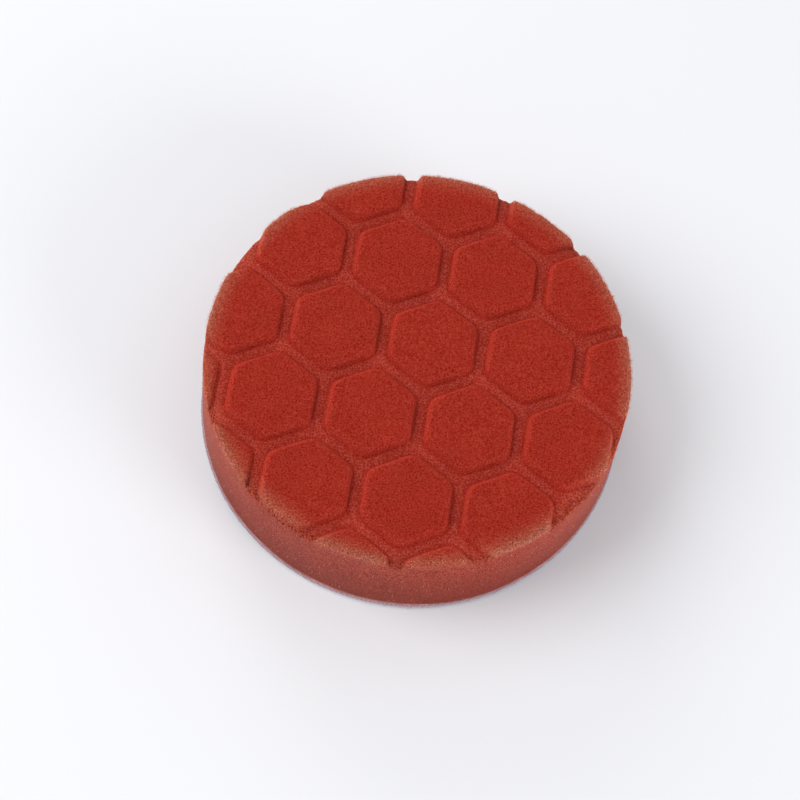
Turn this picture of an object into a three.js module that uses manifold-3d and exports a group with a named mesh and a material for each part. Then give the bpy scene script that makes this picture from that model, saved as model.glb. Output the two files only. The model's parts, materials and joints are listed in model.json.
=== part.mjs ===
// A 100 mm foam polishing pad for a machine polisher: a laminate of four pieces. From the machine side up:
//   loop_pile       the raised nylon loops that grip the hooks of the polisher's backing plate
//   backing_fabric  the warp-knitted ground cloth that the loops stand on
//   adhesive_film   the hot-melt film that bonds the cloth to the foam
//   foam_disc       the open-cell foam disc, with a honeycomb of cushions pressed into its working face
// Millimetres, +Z up. The origin is the centre of the machine side, where the loops meet the backing plate.

import * as THREE from "three";
import { mergeVertices } from "three/addons/utils/BufferGeometryUtils.js";
import Module from "manifold-3d";

// Driving dimensions, in millimetres.
const backingDiameter = 100; // the cloth and its loops, the widest part of the pad
const foamSetback = 0.3; // how far the foam's foot stands inside the cloth's edge
const foamTaper = 0.6; // how much smaller the foam's radius is at the working face than at its foot
const foamThickness = 26; // from the adhesive to the top of the cushions
const adhesiveThickness = 0.3;
const clothThickness = 0.5;
const pileHeight = 1.2;
const pileSetback = 0.2; // how far the die presses the loops in from the cloth's edge
const rimRound = 0.8; // the radius of the foam's edge between wall and working face

// The honeycomb pressed into the working face.
const cushionPitch = 22.7; // centre to centre
const grooveWidth = 3.6; // between two cushions, half way down
const grooveDepth = 2.2;
const cushionEdge = 1.6; // how far a cushion's rounded edge runs in from the foot of the groove's wall
const cornerRadius = 3.2; // of a cushion's corners at the foot of the groove's wall
const leastCorner = 0.5; // the least of that radius that is left at the top, inside the rounded edge
const nearestCushion = { x: 2.5, y: 5.8 }; // the centre of the cushion that is nearest to the pad's axis

// How finely the curves are cut.
const roundSides = 96;
const edgeSteps = 3;
const cornerSteps = 3;
const overshoot = 1; // how far a solid runs past what it is joined to or cut by
const mergeReach = 1e-4; // vertices closer than this are one vertex

// Heights above the machine side.
const clothBottom = pileHeight;
const adhesiveBottom = clothBottom + clothThickness;
const foamBottom = adhesiveBottom + adhesiveThickness;
const foamTop = foamBottom + foamThickness;
const grooveFloor = foamTop - grooveDepth;

const clothRadius = backingDiameter / 2;
const footRadius = clothRadius - foamSetback;
const faceRadius = footRadius - foamTaper;

const wasm = await Module();
wasm.setup();

// A closed three.js geometry as a manifold-3d solid.
function solidOf(geometry) {
  const bare = geometry.clone();
  bare.deleteAttribute("normal");
  bare.deleteAttribute("uv");
  const merged = mergeVertices(bare, mergeReach);
  return new wasm.Manifold(
    new wasm.Mesh({
      numProp: 3,
      vertProperties: merged.attributes.position.array,
      triVerts: new Uint32Array(merged.index.array),
    }),
  );
}

// A manifold-3d solid as a three.js geometry with flat faces.
function geometryOf(solid) {
  const mesh = solid.getMesh();
  const geometry = new THREE.BufferGeometry()
    .setAttribute("position", new THREE.BufferAttribute(mesh.vertProperties, 3))
    .setIndex(new THREE.BufferAttribute(mesh.triVerts, 1))
    .toNonIndexed();
  geometry.computeVertexNormals();
  return geometry;
}

// A solid of revolution about Z. Its profile of [radius, height] points starts and ends on the axis.
function turned(profile) {
  const points = profile.map(([radius, height]) => new THREE.Vector2(radius, height));
  return new THREE.LatheGeometry(points, roundSides).rotateX(Math.PI / 2);
}

function disc(radius, bottom, thickness) {
  return turned([
    [0, bottom],
    [radius, bottom],
    [radius, bottom + thickness],
    [0, bottom + thickness],
  ]);
}

// The foam before the honeycomb is pressed in: a tapering wall and a rounded rim.
function foamBlank() {
  const wallTop = foamTop - rimRound;
  const rimCentre = faceRadius - rimRound;
  const rim = [];
  for (let step = 0; step <= edgeSteps; step++) {
    const angle = (step / edgeSteps) * (Math.PI / 2);
    rim.push([rimCentre + rimRound * Math.cos(angle), wallTop + rimRound * Math.sin(angle)]);
  }
  return turned([[0, foamBottom], [footRadius, foamBottom], ...rim, [0, foamTop]]);
}

// A hexagon with rounded corners and two sides square to X, by the distance from its centre to a side.
function cushionOutline(apothem, corner) {
  const outline = [];
  const cornerCentre = (apothem - corner) / Math.cos(Math.PI / 6);
  for (let side = 0; side < 6; side++) {
    const middle = Math.PI / 6 + (side * Math.PI) / 3;
    for (let step = 0; step <= cornerSteps; step++) {
      const angle = middle + (step / cornerSteps - 0.5) * (Math.PI / 3);
      outline.push(
        new THREE.Vector2(
          cornerCentre * Math.cos(middle) + corner * Math.cos(angle),
          cornerCentre * Math.sin(middle) + corner * Math.sin(angle),
        ),
      );
    }
  }
  return new THREE.Shape(outline);
}

// One cushion, from below the groove's floor to the working face. Its edge rounds over between the two.
function cushion() {
  const footApothem = (cushionPitch - grooveWidth + cushionEdge) / 2;
  const topCorner = Math.max(cornerRadius - cushionEdge, leastCorner);
  const topOutline = cushionOutline(footApothem - cushionEdge, topCorner);
  const geometry = new THREE.ExtrudeGeometry(topOutline, {
    depth: overshoot,
    bevelEnabled: true,
    bevelThickness: grooveDepth,
    bevelSize: cushionEdge,
    bevelSegments: edgeSteps,
  });
  return geometry.translate(0, 0, grooveFloor - overshoot);
}

// The centres of every cushion that reaches the working face. Rows run along X.
function cushionCentres() {
  const rowPitch = cushionPitch * Math.sin(Math.PI / 3);
  const reach = footRadius + cushionPitch;
  const rows = Math.ceil(reach / rowPitch) + 1;
  const centres = [];
  for (let row = -rows; row <= rows; row++) {
    const stagger = row % 2 === 0 ? 0 : cushionPitch / 2;
    const across = Math.ceil(reach / cushionPitch) + 1;
    for (let place = -across; place <= across; place++) {
      const centre = new THREE.Vector2(
        nearestCushion.x + stagger + place * cushionPitch,
        nearestCushion.y + row * rowPitch,
      );
      if (centre.length() < footRadius + cushionPitch / Math.sqrt(3)) centres.push(centre);
    }
  }
  return centres;
}

// The foam disc: a floor slab and the cushions on it, all trimmed to the blank.
function foamDisc() {
  const slabBottom = foamBottom - overshoot;
  const slab = solidOf(disc(footRadius + overshoot, slabBottom, grooveFloor - slabBottom));
  const cushions = cushionCentres().map(({ x, y }) => solidOf(cushion().translate(x, y, 0)));
  const pressed = cushions.reduce((whole, piece) => whole.add(piece), slab);
  return geometryOf(pressed.intersect(solidOf(foamBlank())));
}

function part(name, geometry, material) {
  const mesh = new THREE.Mesh(geometry, material);
  mesh.name = name;
  return mesh;
}

const foamMaterial = new THREE.MeshStandardMaterial({ color: 0xd9472b, roughness: 0.95, metalness: 0 });
const adhesiveMaterial = new THREE.MeshStandardMaterial({ color: 0xe8d9cf, roughness: 0.5, metalness: 0 });
const clothMaterial = new THREE.MeshStandardMaterial({ color: 0xece6e8, roughness: 0.85, metalness: 0 });
const pileMaterial = new THREE.MeshStandardMaterial({ color: 0xf4f0f1, roughness: 0.9, metalness: 0 });

const pad = new THREE.Group();
pad.add(
  part("foam_disc", foamDisc(), foamMaterial),
  part("adhesive_film", disc(footRadius, adhesiveBottom, adhesiveThickness), adhesiveMaterial),
  part("backing_fabric", disc(clothRadius, clothBottom, clothThickness), clothMaterial),
  part("loop_pile", disc(clothRadius - pileSetback, 0, pileHeight), pileMaterial),
);

export default pad;
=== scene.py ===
# %% [markdown]
# # A foam polishing pad
# The pad is a laminate. A thick disc of open-cell foam has a honeycomb of cushions pressed into its
# working face. Under it lie a thin film of hot-melt glue, a knitted cloth, and the cloth's nylon loops,
# which grip the machine. Each layer is made here as its own piece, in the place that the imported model
# gives it.

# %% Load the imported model
import json
import math

import bpy
import numpy as np
from mathutils import Matrix, Vector


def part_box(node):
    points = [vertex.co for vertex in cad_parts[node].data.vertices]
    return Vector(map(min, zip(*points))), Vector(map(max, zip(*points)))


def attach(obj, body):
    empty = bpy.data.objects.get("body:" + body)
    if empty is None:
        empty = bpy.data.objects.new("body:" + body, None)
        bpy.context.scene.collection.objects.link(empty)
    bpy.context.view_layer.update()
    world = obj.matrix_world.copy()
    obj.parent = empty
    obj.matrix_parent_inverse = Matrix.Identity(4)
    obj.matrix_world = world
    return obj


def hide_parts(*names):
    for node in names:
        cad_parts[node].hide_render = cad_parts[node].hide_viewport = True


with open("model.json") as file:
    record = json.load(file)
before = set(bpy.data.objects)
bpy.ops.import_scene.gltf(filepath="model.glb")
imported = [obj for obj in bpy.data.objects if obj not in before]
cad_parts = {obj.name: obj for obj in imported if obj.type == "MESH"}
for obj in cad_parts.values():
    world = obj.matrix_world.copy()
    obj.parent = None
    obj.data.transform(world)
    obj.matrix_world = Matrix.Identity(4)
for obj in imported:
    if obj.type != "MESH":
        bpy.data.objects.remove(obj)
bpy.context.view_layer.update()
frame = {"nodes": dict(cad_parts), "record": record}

scene = bpy.context.scene
print("CAD nodes:", sorted(frame["nodes"]))

# %% [markdown]
# ## Sizes
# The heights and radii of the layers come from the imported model, so each piece lands where the design has
# it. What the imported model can't tell, such as the width of a groove or the size of a cell, is named in
# millimetres where it is first needed.

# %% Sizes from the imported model
MM = 0.001


def layer(node):
    """The radius, lowest and highest height of a round CAD layer, in metres."""
    low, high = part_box(node)
    return high.x, low.z, high.z


FOOT_RADIUS, FOAM_BOTTOM, FOAM_TOP = layer("foam_disc")
FILM_RADIUS, FILM_BOTTOM, FILM_TOP = layer("adhesive_film")
CLOTH_RADIUS, CLOTH_BOTTOM, CLOTH_TOP = layer("backing_fabric")
PILE_RADIUS, PILE_BOTTOM, PILE_TOP = layer("loop_pile")
mounts = {mount["name"]: mount for mount in frame["record"]["mounts"]}
NEAREST_CUSHION = Vector(mounts["working_face"]["pos_m"])
print(f"foam {2 * FOOT_RADIUS / MM:.1f} mm across, {(FOAM_TOP - FOAM_BOTTOM) / MM:.1f} mm thick")

# %% [markdown]
# ## Helpers
# Shapes and materials alike are built from nodes. One small function adds a node, with its settings and
# its links, and another adds an object to the scene.

# %% Nodes and objects
MATH = "ShaderNodeMath"
VECTOR = "ShaderNodeVectorMath"
MIX = "ShaderNodeMix"
RANGE = "ShaderNodeMapRange"
NOISE = "ShaderNodeTexNoise"
CELLS = "ShaderNodeTexVoronoi"


def add(tree, kind, *values, named=None, **settings):
    """Adds a node. Its inputs take the values in order, or by name. None leaves an input as it is."""
    made = tree.nodes.new(kind)
    for name, value in settings.items():
        setattr(made, name, value)
    inputs = [socket for socket in made.inputs if socket.enabled]
    by_name = {socket.name: socket for socket in reversed(inputs)}
    pairs = list(zip(inputs, values))
    pairs += [(by_name[name], value) for name, value in (named or {}).items()]
    for socket, value in pairs:
        if isinstance(value, bpy.types.Node):
            value = next(output for output in value.outputs if output.enabled)
        if isinstance(value, bpy.types.NodeSocket):
            tree.links.new(value, socket)
        elif value is not None:
            socket.default_value = value
    return made


def new_object(name, data):
    """An object in the scene, at the origin, unturned and unscaled."""
    made = bpy.data.objects.new(name, data)
    scene.collection.objects.link(made)
    return made


# %% [markdown]
# A Geometry Nodes tree is a recipe with named inputs, like a machine with dials. One function here starts
# a tree, and another runs it on a host mesh with its dials set. The result comes back as a plain mesh, so
# nothing of the recipe is left on the finished piece.

# %% Start a recipe and run it


def new_tree(name, dials):
    """An empty Geometry Nodes tree, its inputs and its output. Dials map each input's name to its kind."""
    tree = bpy.data.node_groups.new(name, "GeometryNodeTree")
    tree.interface.new_socket("Geometry", in_out="INPUT", socket_type="NodeSocketGeometry")
    for label, kind in dials.items():
        tree.interface.new_socket(label, in_out="INPUT", socket_type="NodeSocket" + kind)
    tree.interface.new_socket("Geometry", in_out="OUTPUT", socket_type="NodeSocketGeometry")
    return tree, tree.nodes.new("NodeGroupInput").outputs, tree.nodes.new("NodeGroupOutput").inputs[0]


def run_tree(tree, name, mesh, dials):
    """Runs the tree on the mesh with its dials set, and returns a new plain object with that name."""
    host = new_object("host_of_" + name, mesh)
    modifier = host.modifiers.new(tree.name, "NODES")
    modifier.node_group = tree
    for item in tree.interface.items_tree:
        if item.in_out == "INPUT" and item.name in dials:
            modifier[item.identifier] = dials[item.name]
    evaluated = host.evaluated_get(bpy.context.evaluated_depsgraph_get())
    made = new_object(name, bpy.data.meshes.new_from_object(evaluated))
    made.data.name = name
    bpy.data.objects.remove(host)
    print(f"{name}: {len(made.data.vertices)} vertices, {len(made.data.polygons)} faces")
    return made


# %% [markdown]
# ## Round blanks
# Every layer starts as a round cake. A cylinder primitive would have long thin faces that can't be
# pressed or roughened, and a square grid would leave a ragged rim. So a blank is made of rings. On the
# face, each ring has six more points than the last, which keeps every triangle about the same size and
# the rim truly round.

# %% Rings of points joined into a closed mesh
POINTS_PER_RING = 6  # how many more points each ring of a face has than the ring inside it


def ring_faces(inner, outer):
    """The triangles between two rings of point numbers that run the same way round."""
    faces, i, j = [], 0, 0
    while i < len(inner) or j < len(outer):
        behind = (j + 0.5) * len(inner) <= (i + 0.5) * len(outer)
        if j < len(outer) and (i >= len(inner) or behind):
            faces.append((inner[i % len(inner)], outer[j % len(outer)], outer[(j + 1) % len(outer)]))
            j += 1
        else:
            faces.append((inner[i % len(inner)], outer[j % len(outer)], inner[(i + 1) % len(inner)]))
            i += 1
    return faces


def round_blank(name, profile):
    """A closed mesh from rings of (radius, height, points), from its top's centre to its bottom's."""
    places, faces, rings = [], [], []
    for radius, height, count in profile:
        turns = np.arange(count) * 2 * math.pi / count
        rings.append([len(places) + i for i in range(count)])
        places += [(radius * math.cos(turn), radius * math.sin(turn), height) for turn in turns]
    for inner, outer in zip(rings, rings[1:]):
        faces += ring_faces(inner, outer)
    faces = [face for face in faces if len(set(face)) == len(face)]
    mesh = bpy.data.meshes.new(name)
    mesh.from_pydata(places, [], faces)
    mesh.shade_smooth()
    return mesh


def face_rings(radius, height, count):
    """The rings of a flat face, from its centre outwards."""
    rings = [(radius * k / count, height, POINTS_PER_RING * k) for k in range(1, count + 1)]
    return [(0, height, 1)] + rings


# %% [markdown]
# The foam's blank adds a rounded rim and a tapering wall. The cells are open on two sides at the rim and
# are roughened most there, so the rows of the wall lie closer together near it.

# %% The foam's blank
FOAM_TAPER = 0.6 * MM  # how much smaller the foam's radius is at the working face than at its foot
FACE_RADIUS = FOOT_RADIUS - FOAM_TAPER
RIM_ROUND = 0.8 * MM  # the radius of the edge between the wall and the working face
FOAM_SPACING = 0.34 * MM  # between the foam's points, about half a cell
WALL_CROWDING = 1.4  # above 1, the wall's rows lie closer near the rim, where the foam is rougher


def foam_blank(name, spacing):
    """The foam before it is pressed: a rounded rim, a tapering wall and an underside."""
    flat_radius = FACE_RADIUS - RIM_ROUND
    wall_top = FOAM_TOP - RIM_ROUND
    profile = face_rings(flat_radius, FOAM_TOP, round(flat_radius / spacing))
    around = profile[-1][2]
    rim_steps = math.ceil(RIM_ROUND * math.pi / 2 / spacing)
    for step in range(1, rim_steps + 1):
        turn = step / rim_steps * math.pi / 2
        out = RIM_ROUND * math.sin(turn)
        up = RIM_ROUND * math.cos(turn)
        profile.append((flat_radius + out, wall_top + up, around))
    wall_steps = round((wall_top - FOAM_BOTTOM) / spacing / 2)
    for step in range(1, wall_steps + 1):
        share = (step / wall_steps) ** WALL_CROWDING
        height = wall_top + (FOAM_BOTTOM - wall_top) * share
        profile.append((FACE_RADIUS + FOAM_TAPER * share, height, around))
    return round_blank(name, profile + [(0, FOAM_BOTTOM, 1)])


blank = foam_blank("foam_blank", FOAM_SPACING)
print(f"the foam's blank has {len(blank.vertices)} points")

# %% [markdown]
# ## Pressing the honeycomb
# On the real pad a hot die presses a net of grooves into the foam, and the cushions are what it leaves
# standing. The net follows a rule: a groove runs wherever a point is equally far from two cushion
# centres. Cutting each cushion out with a boolean would leave hard edges, so a tree works the rule out at
# every point. It measures how far the point is from the groove's middle line, and sinks it by the
# groove's depth there. A groove's floor swells a little between its two creases, because the foam pushes
# back where the die let go of it.

# %% Sizes of the honeycomb
HONEYCOMB = {
    "Cushion pitch": 22.7 * MM,
    "Nearest cushion": NEAREST_CUSHION,
    "Floor width": 2.7 * MM,  # of a groove, from crease to crease
    "Crease depth": 1.95 * MM,
    "Floor bulge": 0.2 * MM,
    "Shoulder width": 1.35 * MM,  # from a crease to the top of the cushion's edge
    "Shoulder fullness": 2.2,  # a power: the higher it is, the more steeply a shoulder leaves its crease
    "Crown width": 5.0 * MM,
    "Crown height": 0.1 * MM,
    # how far up a shoulder the pale pressed tone reaches, which is partly painted light
    "Pale reach": 1.3 * MM,
    # the width of a crease's painted shade
    "Crease width": 0.6 * MM,
    "Corner softness": 2.6 * MM,
    "Face height": FOAM_TOP,
    "Rim radius": FACE_RADIUS,
    "Rim reach": 4 * MM,
    "Rim sag": 0.35,  # how much deeper a groove is at the very rim, as a share of its depth
    "Whole within": FACE_RADIUS + 4 * MM,  # cushions centred within this radius stand whole
    "Sliver beyond": FACE_RADIUS + 10 * MM,  # those centred beyond this one are the lowest
    "Sliver height": 0.25,  # of the lowest, as a share of a whole cushion's height
    "Frayed reach": 1.6 * MM,
    "Squeeze reach": 8 * MM,
}
pitch = HONEYCOMB["Cushion pitch"]
print(f"a cushion every {pitch / MM:.1f} mm, {2 * FACE_RADIUS / pitch:.1f} of them across the face")

# %% The tree that finds the grooves
press, dial, result = new_tree(
    "press_honeycomb",
    {name: "Vector" if name == "Nearest cushion" else "Float" for name in HONEYCOMB},
)


def hexagon_reach(tree, place, softness):
    """How far a place is from a hexagon's centre, square to the nearest side, with softened corners."""
    reaches = []
    for turn in (0, math.pi / 3, 2 * math.pi / 3):
        along = add(tree, VECTOR, place, (math.cos(turn), math.sin(turn), 0), operation="DOT_PRODUCT")
        reaches.append(add(tree, MATH, along, operation="ABSOLUTE"))
    two_sides = add(tree, MATH, reaches[0], reaches[1], softness, operation="SMOOTH_MAX")
    return add(tree, MATH, two_sides, reaches[2], softness, operation="SMOOTH_MAX")


place = add(press, "GeometryNodeInputPosition")
half_pitch = add(press, MATH, dial["Cushion pitch"], 0.5, operation="MULTIPLY")
row_pitch = add(press, MATH, dial["Cushion pitch"], math.sqrt(3) / 2, operation="MULTIPLY")
half = add(press, "ShaderNodeCombineXYZ", half_pitch, row_pitch)
minus_half = add(press, VECTOR, half, -1.0, operation="SCALE")
from_nearest = add(press, VECTOR, place, dial["Nearest cushion"], operation="SUBTRACT")
from_odd_row = add(press, VECTOR, from_nearest, half, operation="ADD")
from_centres = [
    add(press, VECTOR, row, half, minus_half, operation="WRAP") for row in (from_nearest, from_odd_row)
]
reaches = [hexagon_reach(press, from_centre, dial["Corner softness"]) for from_centre in from_centres]
reach = add(press, MATH, *reaches, operation="MINIMUM")
from_line = add(press, MATH, half_pitch, reach, operation="SUBTRACT")
half_floor = add(press, MATH, dial["Floor width"], 0.5, operation="MULTIPLY")
past_crease = add(press, MATH, from_line, half_floor, operation="SUBTRACT")
up_shoulder = add(press, MATH, past_crease, dial["Shoulder width"], operation="DIVIDE", use_clamp=True)
still_down = add(press, MATH, 1.0, up_shoulder, operation="SUBTRACT")
pressed = add(press, MATH, still_down, dial["Shoulder fullness"], operation="POWER")
across_floor = add(press, MATH, from_line, half_floor, operation="DIVIDE", use_clamp=True)
arch = add(press, MATH, 1.0, add(press, MATH, across_floor, 2.0, operation="POWER"), operation="SUBTRACT")
bulge = add(press, MATH, arch, dial["Floor bulge"], operation="MULTIPLY")

# %% [markdown]
# The die was laid on without regard to the disc's edge, so the cushions there are cut off. A narrow
# sliver can't stand as high as a whole cushion, so the further outside the disc a cushion's centre would
# lie, the lower its foam stands. A groove that runs out over the rim sags more there, where it has
# nothing beside it to lean on.

# %% Lower the slivers and sag the rim
flat = (1, 1, 0)
nearer = add(press, MATH, *reaches, operation="LESS_THAN")
from_centre = add(press, MIX, nearer, from_centres[1], from_centres[0], data_type="VECTOR")
centre = add(press, VECTOR, place, from_centre, operation="SUBTRACT")
off_axis = add(press, VECTOR, add(press, VECTOR, centre, flat, operation="MULTIPLY"), operation="LENGTH")
stands = add(
    press, RANGE, off_axis, dial["Whole within"], dial["Sliver beyond"], 1.0, dial["Sliver height"]
)
above_floor = add(press, MATH, 1.0, pressed, operation="SUBTRACT")
still_above = add(press, MATH, above_floor, stands, operation="MULTIPLY")
down_share = add(press, MATH, 1.0, still_above, operation="SUBTRACT")
from_axis = add(press, VECTOR, add(press, VECTOR, place, flat, operation="MULTIPLY"), operation="LENGTH")
in_from_rim = add(press, MATH, dial["Rim radius"], from_axis, operation="SUBTRACT")
sag = add(
    press, RANGE, in_from_rim, 0.0, dial["Rim reach"], dial["Rim sag"], 0.0, interpolation_type="SMOOTHSTEP"
)
rim_share = add(press, MATH, sag, 1.0, operation="ADD")

# %% [markdown]
# The pressing squeezes the wall below it too. So the sinking fades out down the wall, and the points
# there move closer together, as the foam's cells do. Three marks are stored on the points for the steps
# that follow. Pressed foam is denser and a little paler, and its mark also paints light into the groove.
# Light reaches a crease only through red foam, so a crease's mark gives it a painted shade of deep red.
# And the rim is frayed.

# %% Sink the points
crease_sinks = add(press, MATH, down_share, dial["Crease depth"], operation="MULTIPLY")
up_crown = add(press, MATH, past_crease, dial["Crown width"], operation="DIVIDE", use_clamp=True)
off_crown = add(press, MATH, add(press, MATH, 1.0, up_crown, operation="SUBTRACT"), 2.0, operation="POWER")
crown_sinks = add(press, MATH, off_crown, dial["Crown height"], operation="MULTIPLY")
edge_sinks = add(press, MATH, crease_sinks, crown_sinks, operation="ADD")
sinks = add(press, MATH, edge_sinks, bulge, operation="SUBTRACT")
height = add(press, "ShaderNodeSeparateXYZ", place).outputs["Z"]
below_face = add(press, MATH, dial["Face height"], height, operation="SUBTRACT")
squeeze = add(press, RANGE, below_face, 0.0, dial["Squeeze reach"], 1.0, 0.0, interpolation_type="SMOOTHSTEP")
share = add(press, MATH, rim_share, squeeze, operation="MULTIPLY")
down = add(press, VECTOR, (0, 0, -1), add(press, MATH, sinks, share, operation="MULTIPLY"), operation="SCALE")
# the pale mark: partly the pressed skin's own tone, partly painted light lifting the groove from its shade
pale = add(press, RANGE, past_crease, 0.0, dial["Pale reach"], 1.0, 0.0)
off_crease = add(press, MATH, past_crease, operation="ABSOLUTE")
crease_shade = add(press, RANGE, off_crease, 0.0, dial["Crease width"], 1.0, 0.0)
from_edge = add(press, "ShaderNodeCombineXYZ", in_from_rim, below_face)
off_edge = add(press, VECTOR, from_edge, operation="LENGTH")
frayed = add(press, RANGE, off_edge, 0.0, dial["Frayed reach"], 1.0, 0.0)
marked = dial["Geometry"]
for name, mark in (("pressed", pale), ("crease_shade", crease_shade)):
    on_face = add(press, MATH, mark, squeeze, operation="MULTIPLY")
    marked = add(press, "GeometryNodeStoreNamedAttribute", marked, None, name, on_face)
marked = add(press, "GeometryNodeStoreNamedAttribute", marked, None, "frayed", frayed)
moved = add(press, "GeometryNodeSetPosition", marked, named={"Offset": down})
press.links.new(moved.outputs[0], result)
print(f"{press.name}: {len(press.nodes)} nodes")

# %% [markdown]
# ## Roughening a surface
# No layer of the pad is smooth. Foam is a net of cells, well under a millimetre across, whose openings
# are pits in the surface. Its lumps and its slightly uneven rim are what tells the eye that it is soft.
# The cloth and the film have their own grain and wavy edges. One tree makes all of it at three scales:
# pits, lumps and sway. Its cells are placed in space, so the material can draw the same cells in the same
# places. Where the foam is marked as frayed, the pits are much deeper, because the cells of a rim are
# open on two sides.

# %% The tree that roughens
CELL_SIZE = 0.7 * MM
CELL_RANDOMNESS = 0.8  # 0 would be a regular lattice
PIT_MOUTH = 0.3  # from a cell's wall to where its pit is deepest, as a share of the cell's size
NOISE_SPAN = (0.25, 0.75)  # between these two values lies nearly all of a noise texture
roughen, dial, result = new_tree(
    "roughen_surface",
    {
        "Cell size": "Float",
        "Pit depth": "Float",
        "Frayed depth": "Float",
        "Lump size": "Float",
        "Lump height": "Float",
        "Sway size": "Float",
        "Sway": "Float",
    },
)
place = add(roughen, "GeometryNodeInputPosition")
outward = add(roughen, "GeometryNodeInputNormal")
cell_scale = add(roughen, MATH, 1.0, dial["Cell size"], operation="DIVIDE")
to_strut = add(
    roughen, CELLS, place, cell_scale, named={"Randomness": CELL_RANDOMNESS}, feature="DISTANCE_TO_EDGE"
)
pit = add(roughen, RANGE, to_strut, 0.0, PIT_MOUTH, 0.0, -1.0, interpolation_type="SMOOTHSTEP")
frayed = add(roughen, "GeometryNodeInputNamedAttribute", "frayed")
pit_depth = add(roughen, MATH, frayed, dial["Frayed depth"], dial["Pit depth"], operation="MULTIPLY_ADD")
pit_part = add(roughen, MATH, pit, pit_depth, operation="MULTIPLY")
waves = []
for size, amount in (("Lump size", "Lump height"), ("Sway size", "Sway")):
    wave_scale = add(roughen, MATH, 1.0, dial[size], operation="DIVIDE")
    noise = add(roughen, NOISE, place, wave_scale, 1.0)
    middled = add(roughen, RANGE, noise, *NOISE_SPAN, -1.0, 1.0)
    waves.append(add(roughen, MATH, middled, dial[amount], operation="MULTIPLY"))
both_waves = add(roughen, MATH, *waves, operation="ADD")
rise = add(roughen, MATH, pit_part, both_waves, operation="ADD")
offset = add(roughen, VECTOR, outward, rise, operation="SCALE")
moved = add(roughen, "GeometryNodeSetPosition", dial["Geometry"], named={"Offset": offset})
roughen.links.new(moved.outputs[0], result)
print(f"{roughen.name}: {len(roughen.nodes)} nodes")

# %% [markdown]
# ## The foam disc
# Blank, honeycomb, cells: three steps, each a plain mesh that goes into the next.

# %% The foam disc
FOAM_SURFACE = {
    "Cell size": CELL_SIZE,
    "Pit depth": 0.03 * MM,
    "Frayed depth": 0.55 * MM,
    "Lump size": 2.2 * MM,
    "Lump height": 0.02 * MM,
    "Sway size": 18 * MM,
    "Sway": 0.12 * MM,
}
pressed_foam = run_tree(press, "pressed_foam", blank, HONEYCOMB)
foam = run_tree(roughen, "foam_honeycomb_disc", pressed_foam.data.copy(), FOAM_SURFACE)
bpy.data.objects.remove(pressed_foam)

# %% [markdown]
# ## Cut struts
# Where a knife or a grinder went through the foam, its cells are cut open, and the ends of their struts
# stand out of the surface as a fine fringe. It is what makes the rim look lacy against the light. A hair
# system would give long even hairs. A strut is short, and many end in a fork where three walls met, so a
# tree builds one little fork and scatters it: thickly along the rim, and a few on the wall.

# %% The tree that scatters struts: its dials
PRONG_THICKNESS = 0.32  # a prong's radius where it starts, as a share of the strut's thickness
PRONG_LENGTH = 0.6  # as a share of the strut's length
PRONG_LEANS = (-0.9, 0.8)  # radians, one for each prong
MOST_TILT = 0.7  # radians that a strut may lean to any side
MOST_TURN = 6.3  # radians about the strut's own line, just over a whole turn
STRUT_SIZES = (0.45, 1.25)  # the smallest and the largest, as shares of the strut's length
strut_tree, dial, result = new_tree(
    "scatter_cut_struts",
    {
        "Strut length": "Float",
        "Strut thickness": "Float",
        "Rim radius": "Float",
        "Rim height": "Float",
        "Rim fringe": "Float",
        "Density at the rim": "Float",
        "Density on the wall": "Float",
        "Seed": "Int",
        "Material": "Material",
    },
)

# %% [markdown]
# A fork is a three-sided cone for the stem and two thinner ones for the prongs. It is sunk by one
# thickness, so that it grows out of the foam, however the surface slopes.

# %% One fork
stem_radius = add(strut_tree, MATH, dial["Strut thickness"], 0.5, operation="MULTIPLY")
prong_radius = add(strut_tree, MATH, dial["Strut thickness"], PRONG_THICKNESS, operation="MULTIPLY")
prong_length = add(strut_tree, MATH, dial["Strut length"], PRONG_LENGTH, operation="MULTIPLY")
stem = add(strut_tree, "GeometryNodeMeshCone", 3, 1, 1, prong_radius, stem_radius, dial["Strut length"])
prong = add(strut_tree, "GeometryNodeMeshCone", 3, 1, 1, 0.0, prong_radius, prong_length)
fork = add(strut_tree, "GeometryNodeJoinGeometry")
strut_tree.links.new(stem.outputs[0], fork.inputs[0])
for lean in PRONG_LEANS:
    base = add(strut_tree, "ShaderNodeCombineXYZ", None, None, dial["Strut length"])
    leaning = add(strut_tree, "GeometryNodeTransform", prong, base, (0, lean, 0))
    strut_tree.links.new(leaning.outputs[0], fork.inputs[0])
root_depth = add(strut_tree, MATH, dial["Strut thickness"], -1.0, operation="MULTIPLY")
root = add(strut_tree, "ShaderNodeCombineXYZ", None, None, root_depth)
rooted = add(strut_tree, "GeometryNodeTransform", fork, root)

# %% [markdown]
# The rim is a circle, so how far a point is from it follows from how far in from the rim the point lies
# and how far below. The forks stand closest together on the rim and thin out over the fringe's width. The
# wall adds a small share of its own.

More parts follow.
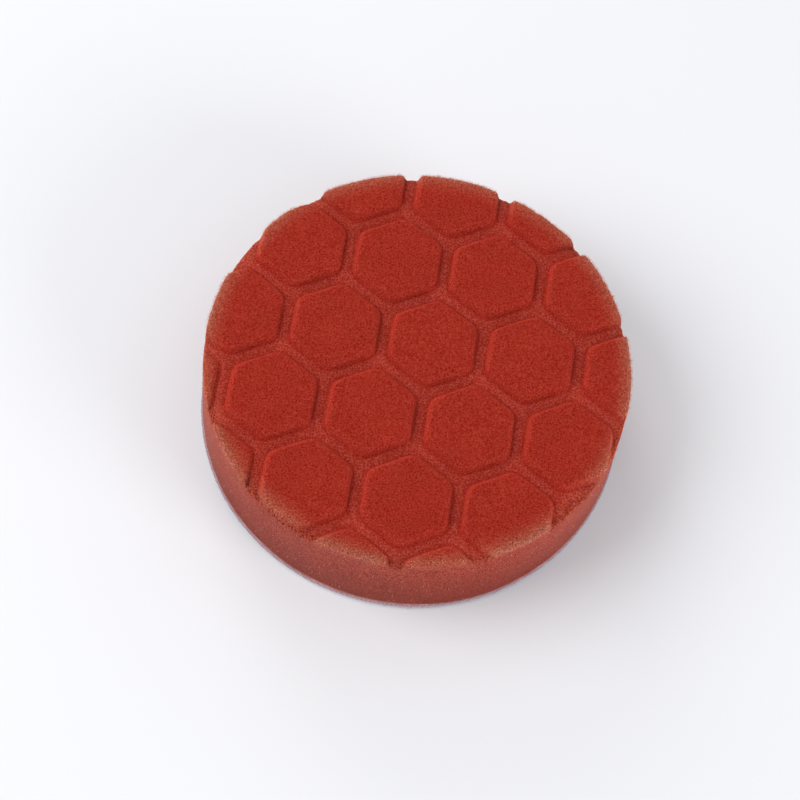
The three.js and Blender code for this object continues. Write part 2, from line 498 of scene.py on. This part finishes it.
# %% Where the forks stand
place = add(strut_tree, "GeometryNodeInputPosition")
split = add(strut_tree, "ShaderNodeSeparateXYZ", place)
flat_place = add(strut_tree, "ShaderNodeCombineXYZ", split.outputs["X"], split.outputs["Y"])
from_axis = add(strut_tree, VECTOR, flat_place, operation="LENGTH")
in_from_rim = add(strut_tree, MATH, dial["Rim radius"], from_axis, operation="SUBTRACT")
below_rim = add(strut_tree, MATH, dial["Rim height"], split.outputs["Z"], operation="SUBTRACT")
squares = [add(strut_tree, MATH, part, 2.0, operation="POWER") for part in (in_from_rim, below_rim)]
from_rim = add(strut_tree, MATH, add(strut_tree, MATH, *squares, operation="ADD"), operation="SQRT")
near_rim = add(
    strut_tree, RANGE, from_rim, 0.0, dial["Rim fringe"], 1.0, 0.0, interpolation_type="SMOOTHSTEP"
)
extra = add(strut_tree, MATH, near_rim, dial["Density at the rim"], operation="MULTIPLY")
wall_share = add(strut_tree, RANGE, in_from_rim, 0.0, dial["Rim fringe"], 1.0, 0.0)
on_wall = add(strut_tree, MATH, wall_share, dial["Density on the wall"], operation="MULTIPLY")
density = add(strut_tree, MATH, extra, on_wall, operation="ADD")
points = add(
    strut_tree,
    "GeometryNodeDistributePointsOnFaces",
    dial["Geometry"],
    named={"Density": density, "Seed": dial["Seed"]},
    distribute_method="RANDOM",
)

# %% [markdown]
# Each fork stands square to the surface and is then tilted and turned about its own line by a random
# amount.

# %% One fork on each point
least = (-MOST_TILT, -MOST_TILT, 0)
most = (MOST_TILT, MOST_TILT, MOST_TURN)
tilt = add(strut_tree, "FunctionNodeRandomValue", least, most, data_type="FLOAT_VECTOR")
tilted = add(
    strut_tree,
    "FunctionNodeRotateRotation",
    points.outputs["Rotation"],
    add(strut_tree, "FunctionNodeEulerToRotation", tilt),
    rotation_space="LOCAL",
)
scales = add(strut_tree, "FunctionNodeRandomValue", *STRUT_SIZES, data_type="FLOAT")
struts = add(
    strut_tree,
    "GeometryNodeInstanceOnPoints",
    points,
    named={"Instance": rooted, "Rotation": tilted, "Scale": scales},
)
real = add(strut_tree, "GeometryNodeRealizeInstances", struts)
finished = add(strut_tree, "GeometryNodeSetMaterial", real, named={"Material": dial["Material"]})
strut_tree.links.new(finished.outputs[0], result)
print(f"{strut_tree.name}: {len(strut_tree.nodes)} nodes")

# %% [markdown]
# ## Colours and materials
# Colours are written as the sRGB hex values that a paint program shows. Blender works in linear light, so
# one function turns one into the other. A second one starts a material.

# %% Colours and new materials


def colour(hex_value):
    """A linear RGBA colour from an sRGB hex value such as "#A83220"."""
    shares = [int(hex_value[i : i + 2], 16) / 255 for i in (1, 3, 5)]
    linear = [s / 12.92 if s <= 0.04045 else ((s + 0.055) / 1.055) ** 2.4 for s in shares]
    return (*linear, 1.0)


def new_material(name):
    """A new material, its node tree and its surface node."""
    made = bpy.data.materials.new(name)
    made.use_nodes = True
    return made, made.node_tree, made.node_tree.nodes["Principled BSDF"]


# %% [markdown]
# ## Foam materials
# Open-cell polyurethane foam is a net of thin translucent struts. Light goes in, bounces about and comes
# out nearby, so the foam glows softly. Where it is thin, at the rim, it is painted paler as a glow of that
# light. Its surface has no gloss: it is pits with lit strut ends between them, drawn as painted shade in
# the pits and painted highlights on the ends. The pressed face is more saturated, because the die closes
# the cells, and the cut wall is paler, because every cut strut end catches the light.

# %% Sizes and colours of the foam's two finishes
WALL_FADE = (FOAM_TOP - 2.4 * MM, FOAM_TOP - 0.6 * MM)  # the cut look fades out between these heights
WALL_RADII = (FACE_RADIUS - 1.6 * MM, FACE_RADIUS - 0.4 * MM)  # and fades in between these radii
RIM_REACH_IN = 5 * MM  # how far in from the wall the foam is thin enough to get the rim's painted glow
RIM_HEIGHTS = (FOAM_TOP - 4.5 * MM, FOAM_TOP - 0.5 * MM)  # the painted glow grows from the first height to the second
RIM_FADE = 1.7  # above 1, the painted glow keeps closer to the rim
STRUT_END_SIZE = 0.36 * MM  # drawn coarser than the real ends, which are too fine to show
STRUT_WIDTH = 0.24  # of a drawn strut, as a share of the cell's size
STRUT_ENDS = (0.44, 0.72)  # between these noise values, foam turns into a lit strut end, a painted highlight
ENDS_SHARE = 0.6  # of the fine ends in the pattern, beside the net
SMEARED_CRISPNESS = 0.5  # how much of the pattern the knife left at the foot
SMEARED_LEVEL = 0.3  # and how pale the smeared foam is
CREASE_SHADE_SHARE = 0.6  # how much of the painted crease shade the middle of a crease gets
PATCH_SIZE = 7 * MM  # of the denser and looser patches in the foam
PATCH_SPAN = (0.3, 0.7)  # the noise values between which their tone changes
PATCH_TONES = (0.96, 1.04)
FOOT_PAINTED_SHADE = 0.64  # how dark the foot's painted shade is beside the rest
CELL_RELIEF = 0.12 * MM  # how deep the drawn cells look
# The crease tones are painted shade, the rim tones a painted glow and the pressed ones partly painted light.
SHADES = (
    {"face": "#8B1B0E", "pressed": "#932619", "crease": "#920F03", "wall": "#6E150E", "rim": "#924230"},
    {"face": "#AB3C2D", "pressed": "#BA4E3F", "crease": "#B22412", "wall": "#B4513F", "rim": "#BA7058"},
)  # of the deep cells in painted shade, then of the struts with painted highlights

# %% [markdown]
# Both finishes come from one function. Light that goes far through the foam comes out red, because the
# other colours are soaked up first. So the scattering radius is largest for red, and it is scaled to the
# width of a few cells. The knife left loose ends, so the cut finish alone has a sheen.

# %% Open-cell polyurethane foam, pressed on its face and cut round its wall


def foam_material(name, sheen):
    """One finish of the foam. Both are coloured by the same rules, so they meet at the rim without a line."""
    made, tree, surface = new_material(name)
    place = add(tree, "ShaderNodeTexCoord").outputs["Object"]
    split = add(tree, "ShaderNodeSeparateXYZ", place)
    flat_place = add(tree, "ShaderNodeCombineXYZ", split.outputs["X"], split.outputs["Y"])
    from_axis = add(tree, VECTOR, flat_place, operation="LENGTH")
    pressed_and_lit_mark = add(tree, "ShaderNodeAttribute", attribute_name="pressed").outputs["Fac"]
    crease_shade_mark = add(tree, "ShaderNodeAttribute", attribute_name="crease_shade").outputs["Fac"]

    # The wall was cut, the face was pressed, and the thin rim between them gets a painted glow of light.
    below = add(tree, RANGE, split.outputs["Z"], *WALL_FADE, 1.0, 0.0)
    outer = add(tree, RANGE, from_axis, *WALL_RADII, 0.0, 1.0)
    on_wall = add(tree, MATH, below, outer, operation="MULTIPLY")
    out_to_rim = add(tree, RANGE, from_axis, FACE_RADIUS - RIM_REACH_IN, FACE_RADIUS, 0.0, 1.0)
    up_to_rim = add(tree, RANGE, split.outputs["Z"], *RIM_HEIGHTS, 0.0, 1.0)
    near_rim = add(tree, MATH, out_to_rim, up_to_rim, operation="MULTIPLY")
    rim_painted_glow = add(tree, MATH, near_rim, RIM_FADE, operation="POWER")

    # A net of paler struts over deeper cells: painted highlights on strut ends, painted shade in the pits.
    # Low on the wall the knife smeared them together.
    to_strut = add(
        tree, CELLS, place, 1 / CELL_SIZE, named={"Randomness": CELL_RANDOMNESS}, feature="DISTANCE_TO_EDGE"
    )
    net = add(tree, RANGE, to_strut, 0.0, STRUT_WIDTH, 1.0, 0.0)
    fine_noise = add(tree, NOISE, place, 1 / STRUT_END_SIZE, 0.0)
    lit_end_highlights = add(tree, RANGE, fine_noise, *STRUT_ENDS, 0.0, 1.0)
    highlight_and_pit_shade = add(tree, MIX, ENDS_SHARE, net, lit_end_highlights, data_type="FLOAT")
    crisp_from = FOAM_TOP - 9 * MM
    crispness = add(tree, RANGE, split.outputs["Z"], FOAM_BOTTOM, crisp_from, SMEARED_CRISPNESS, 1.0)
    strut = add(tree, MIX, crispness, SMEARED_LEVEL, highlight_and_pit_shade, data_type="FLOAT")
    crease_painted_shade = add(tree, MATH, crease_shade_mark, CREASE_SHADE_SHARE, operation="MULTIPLY")
    shades = []
    for hex_values in SHADES:
        tints = {area: colour(hex_value) for area, hex_value in hex_values.items()}
        # the pressed tone is partly painted light in the groove, and the crease tone is painted shade
        pressed_and_lit_tint = add(tree, MIX, pressed_and_lit_mark, tints["face"], tints["pressed"], data_type="RGBA")
        face_shade = add(tree, MIX, crease_painted_shade, pressed_and_lit_tint, tints["crease"], data_type="RGBA")
        body = add(tree, MIX, on_wall, face_shade, tints["wall"], data_type="RGBA")
        shades.append(add(tree, MIX, rim_painted_glow, body, tints["rim"], data_type="RGBA"))
    foam_shade = add(tree, MIX, strut, *shades, data_type="RGBA")

    # No two patches of foam are equally dense. The foot gets a painted shade, fading out upwards.
    patch_noise = add(tree, NOISE, place, 1 / PATCH_SIZE, 2.0)
    patch_tone = add(tree, RANGE, patch_noise, *PATCH_SPAN, *PATCH_TONES)
    bright_from = FOAM_TOP - 6 * MM
    foot_painted_shade = add(tree, RANGE, split.outputs["Z"], FOAM_BOTTOM, bright_from, FOOT_PAINTED_SHADE, 1.0)
    tone = add(tree, MATH, patch_tone, foot_painted_shade, operation="MULTIPLY")
    toned = add(tree, VECTOR, foam_shade, tone, operation="SCALE")
    tree.links.new(toned.outputs["Vector"], surface.inputs["Base Color"])

    bump = add(tree, "ShaderNodeBump", named={"Strength": 0.5, "Distance": CELL_RELIEF, "Height": strut})
    tree.links.new(bump.outputs[0], surface.inputs["Normal"])
    surface.inputs["Roughness"].default_value = 0.95
    surface.inputs["IOR"].default_value = 1.5
    surface.inputs["Specular IOR Level"].default_value = 0.04
    surface.inputs["Sheen Weight"].default_value = sheen
    surface.inputs["Sheen Roughness"].default_value = 0.3
    surface.inputs["Sheen Tint"].default_value = colour("#F6D6CC")
    surface.inputs["Subsurface Weight"].default_value = 0.7
    surface.inputs["Subsurface Radius"].default_value = (1.0, 0.25, 0.12)
    surface.inputs["Subsurface Scale"].default_value = 1.8 * MM
    return made


CUT_FROM = FACE_RADIUS - 0.3 * MM  # faces further out than this are the cut wall
foam.data.materials.clear()
foam.data.materials.append(foam_material("open_cell_polyurethane_foam_hot_pressed", sheen=0.0))
foam.data.materials.append(foam_material("open_cell_polyurethane_foam_knife_cut", sheen=0.26))
cut = [face.center.xy.length > CUT_FROM for face in foam.data.polygons]
foam.data.polygons.foreach_set("material_index", cut)
print(f"{sum(cut)} of the foam's {len(cut)} faces are its cut wall")

# %% [markdown]
# A strut end is a bare thread of the same polymer, so some light goes straight through it. It looks paler
# than the foam below it, and its tone drifts from patch to patch, as the knife cut closer here and there.

# %% Cut struts of the same foam
PATCHY = (0.35, 0.65)  # the noise values between which a material goes from one shade to the other


def strut_material():
    """Knife-cut strut ends: matt, pale and slightly see-through."""
    made, tree, surface = new_material("polyurethane_strut_ends")
    place = add(tree, "ShaderNodeTexCoord").outputs["Object"]
    patch = add(tree, NOISE, place, 1 / (0.8 * MM), 1.0)
    shade = add(tree, RANGE, patch, *PATCHY, 0.0, 1.0)
    mixed = add(tree, MIX, shade, colour("#C46E55"), colour("#EAB4A0"), data_type="RGBA")
    tree.links.new(mixed.outputs[2], surface.inputs["Base Color"])
    surface.inputs["Roughness"].default_value = 0.6
    surface.inputs["IOR"].default_value = 1.5
    surface.inputs["Transmission Weight"].default_value = 0.15
    return made


STRUTS = {
    "Strut length": 0.46 * MM,
    "Strut thickness": 0.07 * MM,
    "Rim radius": FACE_RADIUS,
    "Rim height": FOAM_TOP,
    "Rim fringe": 1.5 * MM,
    "Density at the rim": 22 / MM**2,
    "Density on the wall": 0.08 / MM**2,
    "Seed": 3,
    "Material": strut_material(),
}
struts_piece = run_tree(strut_tree, "foam_cut_struts", foam.data.copy(), STRUTS)

# %% [markdown]
# ## Film and cloth
# The hot-melt film is a third of a millimetre of clear glue, milky where it soaked into the foam. The
# ground cloth is warp-knitted nylon, and its die-cut edge is a little wavy. Both are flat discs, so each
# is a blank with its own grain from the same roughening tree.

# %% Film and cloth
EDGE_SPACING = 0.15 * MM  # between the rows of a thin disc's edge
EDGE_BULGE = 0.3  # how far a thin disc's edge bulges, as a share of its thickness


def flat_disc(name, radius, bottom, top, spacing, dials):
    """A thin disc with a bulging edge, roughened by the dials."""
    top_rings = face_rings(radius, top, round(radius / spacing))
    around = top_rings[-1][2]
    steps = max(2, round((top - bottom) / EDGE_SPACING))
    edge = []
    for step in range(1, steps):
        share = step / steps
        bulge = EDGE_BULGE * (top - bottom) * math.sin(math.pi * share)
        edge.append((radius + bulge, top + (bottom - top) * share, around))
    bottom_rings = face_rings(radius, bottom, round(radius / spacing))[::-1]
    mesh = round_blank(name, top_rings + edge + bottom_rings)
    return run_tree(roughen, name, mesh, dials)


FILM_SURFACE = {
    "Cell size": 1.0 * MM,
    "Pit depth": 0.0,
    "Frayed depth": 0.0,
    "Lump size": 1.6 * MM,
    "Lump height": 0.03 * MM,
    "Sway size": 9 * MM,
    "Sway": 0.02 * MM,
}
CLOTH_SURFACE = {
    "Cell size": 0.8 * MM,
    "Pit depth": 0.05 * MM,
    "Frayed depth": 0.0,
    "Lump size": 1.4 * MM,
    "Lump height": 0.06 * MM,
    "Sway size": 7 * MM,
    "Sway": 0.03 * MM,
}
film = flat_disc("hot_melt_film", FILM_RADIUS, FILM_BOTTOM, FILM_TOP, 0.9 * MM, FILM_SURFACE)
cloth = flat_disc("knitted_ground_cloth", CLOTH_RADIUS, CLOTH_BOTTOM, CLOTH_TOP, 0.6 * MM, CLOTH_SURFACE)

# %% [markdown]
# The film was rolled on hot, so it set smooth and has a dull shine where its edge shows. The cloth's
# yarns stand up in ribs and stitches. Each yarn is a bundle of fine threads, so the cloth has no clear
# highlight, only a sheen.

# %% Hot-melt film and warp-knitted nylon
WALE_WIDTH = 1.0 * MM  # of one rib of the knit
COURSE_WIDTH = 0.8 * MM  # of one stitch along it


def film_material():
    """Set hot-melt glue: smooth, and milky where it soaked into the foam."""
    made, tree, surface = new_material("hot_melt_adhesive_film")
    place = add(tree, "ShaderNodeTexCoord").outputs["Object"]
    milky = add(tree, NOISE, place, 1 / (1.5 * MM), 2.0)
    shade = add(tree, RANGE, milky, *PATCHY, 0.0, 1.0)
    mixed = add(tree, MIX, shade, colour("#A65F52"), colour("#C08E84"), data_type="RGBA")
    tree.links.new(mixed.outputs[2], surface.inputs["Base Color"])
    surface.inputs["Roughness"].default_value = 0.4
    surface.inputs["IOR"].default_value = 1.49
    return made


def cloth_material():
    """Knitted nylon: ribs crossed by stitches, drawn by two waves."""
    made, tree, surface = new_material("warp_knitted_nylon_cloth")
    place = add(tree, "ShaderNodeTexCoord").outputs["Object"]
    split = add(tree, "ShaderNodeSeparateXYZ", place)
    wales = add(tree, MATH, split.outputs["X"], 2 * math.pi / WALE_WIDTH, operation="MULTIPLY")
    courses = add(tree, MATH, split.outputs["Y"], 2 * math.pi / COURSE_WIDTH, operation="MULTIPLY")
    ribs = add(tree, MATH, wales, operation="SINE")
    stitches = add(tree, MATH, courses, operation="SINE")
    knit = add(tree, MATH, ribs, stitches, operation="MULTIPLY")
    shade = add(tree, RANGE, knit, -1.0, 1.0, 0.0, 1.0)
    # both tones are darker than the knitted nylon itself: the knit pattern is real, the darkness painted
    # shade
    mixed = add(tree, MIX, shade, colour("#8C6E7C"), colour("#B89CAA"), data_type="RGBA")
    tree.links.new(mixed.outputs[2], surface.inputs["Base Color"])
    bump = add(tree, "ShaderNodeBump", named={"Strength": 0.5, "Distance": 0.1 * MM, "Height": knit})
    tree.links.new(bump.outputs[0], surface.inputs["Normal"])
    surface.inputs["Roughness"].default_value = 0.8
    surface.inputs["IOR"].default_value = 1.53
    surface.inputs["Sheen Weight"].default_value = 0.3
    return made


film.data.materials.append(film_material())
cloth.data.materials.append(cloth_material())
print(film.data.materials[0].name, "and", cloth.data.materials[0].name)

# %% [markdown]
# ## The loops
# The machine side is a brushed loop pile: thousands of nylon loops, knitted into the cloth in rows and
# leaned about by brushing. Modelling them as a bumpy disc would look like felt from the side, so each
# loop is a real arch of yarn. A tree lays a grid of points, shifts every other row, jitters them and
# hangs a loop from each.

# %% The tree that knits the loops: its dials
ARC_START = math.radians(-15)  # a loop is a little more than half a turn of yarn
ARC_SWEEP = math.radians(210)
LEAST_LEAN = (-0.5, -0.5, -1.2)  # radians about X, Y and Z, from the brushing
MOST_LEAN = (0.3, 0.5, 1.2)
LOOP_SIZES = (0.85, 1.0)  # the smallest and the largest, as shares of the full size
loop_tree, dial, result = new_tree(
    "knit_loop_pile",
    {
        "Pile radius": "Float",
        "Root height": "Float",
        "Loop height": "Float",
        "Loop width": "Float",
        "Yarn thickness": "Float",
        "Wale pitch": "Float",
        "Course pitch": "Float",
        "Jitter": "Float",
        "Seed": "Int",
        "Material": "Material",
    },
)

# %% [markdown]
# The grid has a point for each stitch. Every other row is shifted by half a stitch, every point is shaken
# a little, and the points outside the round pile are deleted.

# %% Where the loops hang
across = add(loop_tree, MATH, dial["Pile radius"], 2.0, operation="MULTIPLY")
wales = add(loop_tree, MATH, across, dial["Wale pitch"], operation="DIVIDE")
courses = add(loop_tree, MATH, across, dial["Course pitch"], operation="DIVIDE")
grid = add(loop_tree, "GeometryNodeMeshGrid", across, across, wales, courses)
place = add(loop_tree, "GeometryNodeInputPosition")
split = add(loop_tree, "ShaderNodeSeparateXYZ", place)
row = add(loop_tree, MATH, split.outputs["X"], dial["Wale pitch"], operation="DIVIDE")
odd = add(loop_tree, MATH, add(loop_tree, MATH, row, operation="ROUND"), 2.0, operation="FLOORED_MODULO")
half_course = add(loop_tree, MATH, dial["Course pitch"], 0.5, operation="MULTIPLY")
stagger = add(loop_tree, MATH, odd, half_course, operation="MULTIPLY")
shake = add(
    loop_tree,
    "FunctionNodeRandomValue",
    (-1, -1, 0),
    (1, 1, 0),
    named={"Seed": dial["Seed"]},
    data_type="FLOAT_VECTOR",
)
shaken = add(loop_tree, VECTOR, shake, dial["Jitter"], operation="SCALE")
root = add(loop_tree, "ShaderNodeCombineXYZ", None, stagger, dial["Root height"])
shift = add(loop_tree, VECTOR, shaken, root, operation="ADD")
settled = add(loop_tree, "GeometryNodeSetPosition", grid, named={"Offset": shift})
flat_place = add(loop_tree, "ShaderNodeCombineXYZ", split.outputs["X"], split.outputs["Y"])
from_axis = add(loop_tree, VECTOR, flat_place, operation="LENGTH")
outside = add(loop_tree, MATH, from_axis, dial["Pile radius"], operation="GREATER_THAN")
kept = add(loop_tree, "GeometryNodeDeleteGeometry", settled, outside)

# %% [markdown]
# A loop is an arc, stretched until it reaches as far down as the pile does, and a thin three-sided yarn
# run along it. From each point hangs one loop, leaned by a random amount.

# %% One loop on each point
arc_radius = add(loop_tree, MATH, dial["Loop width"], 0.5, operation="MULTIPLY")
yarn_radius = add(loop_tree, MATH, dial["Yarn thickness"], 0.5, operation="MULTIPLY")
arc = add(loop_tree, "GeometryNodeCurveArc", 5, arc_radius, ARC_START, ARC_SWEEP)
line_reach = add(loop_tree, MATH, dial["Loop height"], yarn_radius, operation="SUBTRACT")
stretch = add(loop_tree, MATH, line_reach, arc_radius, operation="DIVIDE")
tall = add(loop_tree, "ShaderNodeCombineXYZ", 1.0, stretch, 1.0)
tall_arc = add(loop_tree, "GeometryNodeTransform", arc, None, None, tall)
hanging = add(loop_tree, "GeometryNodeTransform", tall_arc, None, (-math.pi / 2, 0, 0))
yarn = add(loop_tree, "GeometryNodeCurvePrimitiveCircle", 3, yarn_radius)
loop = add(loop_tree, "GeometryNodeCurveToMesh", hanging, yarn, None, True)
lean = add(
    loop_tree,
    "FunctionNodeRandomValue",
    LEAST_LEAN,
    MOST_LEAN,
    named={"Seed": dial["Seed"]},
    data_type="FLOAT_VECTOR",
)
turned = add(loop_tree, "FunctionNodeEulerToRotation", lean)
sizes = add(loop_tree, "FunctionNodeRandomValue", *LOOP_SIZES, data_type="FLOAT")
loops = add(
    loop_tree,
    "GeometryNodeInstanceOnPoints",
    kept,
    named={"Instance": loop, "Rotation": turned, "Scale": sizes},
)
real = add(loop_tree, "GeometryNodeRealizeInstances", loops)
smooth = add(loop_tree, "GeometryNodeSetShadeSmooth", real)
finished = add(loop_tree, "GeometryNodeSetMaterial", smooth, named={"Material": dial["Material"]})
loop_tree.links.new(finished.outputs[0], result)
print(f"{loop_tree.name}: {len(loop_tree.nodes)} nodes")

# %% [markdown]
# Drawn nylon yarn is smooth and half clear, so each loop catches a small soft light. Brushing fans its
# threads out, which adds a sheen, and the tone of the pile drifts over a few millimetres.

# %% Brushed nylon loops


def loop_material():
    """Brushed nylon: pale yarn with a soft highlight and a sheen."""
    made, tree, surface = new_material("brushed_nylon_loops")
    place = add(tree, "ShaderNodeTexCoord").outputs["Object"]
    patch = add(tree, NOISE, place, 1 / (4 * MM), 2.0)
    shade = add(tree, RANGE, patch, *PATCHY, 0.0, 1.0)
    # the pale lilac is partly the yarn's own tint and partly painted shade, darker than bare nylon
    mixed = add(tree, MIX, shade, colour("#B5A2AD"), colour("#DCCFD8"), data_type="RGBA")
    tree.links.new(mixed.outputs[2], surface.inputs["Base Color"])
    surface.inputs["Roughness"].default_value = 0.55
    surface.inputs["IOR"].default_value = 1.53
    surface.inputs["Sheen Weight"].default_value = 0.4
    return made


LOOPS = {
    "Pile radius": PILE_RADIUS,
    "Root height": PILE_TOP,
    "Loop height": PILE_TOP - PILE_BOTTOM,
    "Loop width": 0.9 * MM,
    "Yarn thickness": 0.17 * MM,
    "Wale pitch": 1.05 * MM,
    "Course pitch": 1.0 * MM,
    "Jitter": 0.18 * MM,
    "Seed": 8,
    "Material": loop_material(),
}
no_mesh = bpy.data.meshes.new("no_mesh")  # the tree makes its own points, so its host is empty
loops_piece = run_tree(loop_tree, "nylon_loop_pile", no_mesh, LOOPS)

# %% [markdown]
# ## Join the pieces to the imported model
# Nothing on the pad moves against anything else, so every piece rides on the one body, and the CAD
# layer that each piece stands for is hidden.

# %% Ride and replace
REPLACED = {
    foam: ("foam_disc", "foam"),
    struts_piece: ("foam_disc", "foam"),
    film: ("adhesive_film", "adhesive"),
    cloth: ("backing_fabric", "backing_cloth"),
    loops_piece: ("loop_pile", "loop_pile"),
}
for piece, (node, slot) in REPLACED.items():
    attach(piece, "root")
    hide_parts(node)
print(f"{len(REPLACED)} pieces ride on the body")

# %% [markdown]
# ## Floor, light and camera
# The pad lies on a plain pale floor, wide enough that the camera never sees its end. The paint is matt,
# so that it takes the pad's soft shadow and shows no reflection.

# %% Floor
FLOOR_SIZE = 8  # metres
bpy.ops.mesh.primitive_plane_add(size=FLOOR_SIZE)
floor = bpy.context.object
floor.name = "studio_floor"
floor_paint, floor_tree, floor_surface = new_material("matt_white_studio_paint")
floor_surface.inputs["Base Color"].default_value = colour("#E6E6E8")
floor_surface.inputs["Roughness"].default_value = 0.9
floor.data.materials.append(floor_paint)
print(f"the floor is {FLOOR_SIZE} m wide")

# %% [markdown]
# A large soft light stands high on the left, a low one behind the pad catches the struts of its far rim,
# and another on the right lights the wall. A pale sky fills the shadows.

# %% Lights


def soft_light(name, place, size, power, tint):
    """A round lamp at a place, turned towards the pad. Sizes are in metres and the power is in watts."""
    lamp = bpy.data.lights.new(name, "AREA")
    lamp.shape = "DISK"
    lamp.size = size
    lamp.energy = power
    lamp.color = colour(tint)[:3]
    holder = new_object(name, lamp)
    holder.location = place
    holder.rotation_euler = (-Vector(place)).to_track_quat("-Z", "Y").to_euler()
    print(f"{name}: {power} W")


soft_light("key_from_the_left", (-0.92, -0.14, 0.83), size=1.0, power=9.8, tint="#FFFFFF")
soft_light("rim_from_behind", (-0.5, 0.95, 0.42), size=0.6, power=3.4, tint="#FFFFFF")
soft_light("fill_from_the_right", (0.9, -0.5, 0.32), size=0.6, power=5.8, tint="#FFFFFF")
sky = bpy.data.worlds.new("pale_sky")
scene.world = sky
sky.use_nodes = True
sky.node_tree.nodes["Background"].inputs["Color"].default_value = colour("#F4F6FA")
sky.node_tree.nodes["Background"].inputs["Strength"].default_value = 0.66
scene.view_settings.view_transform = "Standard"

# %% [markdown]
# The camera looks down steeply from just under half a metre away, through a long lens that hardly
# distorts the pad. It is placed by the point it aims at, its distance, three angles and its focal length.

# %% Camera
AIM = Vector((-2.7, -10.4, 28.0)) * MM
DISTANCE = 446.6 * MM
ELEVATION = math.radians(65.98)
AZIMUTH = math.radians(0.6)
ROLL = math.radians(9.135)
lens = bpy.data.cameras.new("camera")
lens.sensor_width = 36
lens.lens = 88.96
lens.clip_start = 0.01
lens.clip_end = 20
camera = new_object("camera", lens)
away = Vector(
    (
        math.sin(AZIMUTH) * math.cos(ELEVATION),
        -math.cos(AZIMUTH) * math.cos(ELEVATION),
        math.sin(ELEVATION),
    )
)
turn = (-away).to_track_quat("-Z", "Y").to_matrix() @ Matrix.Rotation(ROLL, 3, "Z")
camera.matrix_world = Matrix.Translation(AIM + away * DISTANCE) @ turn.to_4x4()
scene.camera = camera
print(f"the camera stands {DISTANCE / MM:.0f} mm from the pad's face")

# %% [markdown]
# ## Finish
# The scene is brought up to date.

# %% Finish
bpy.context.view_layer.update()
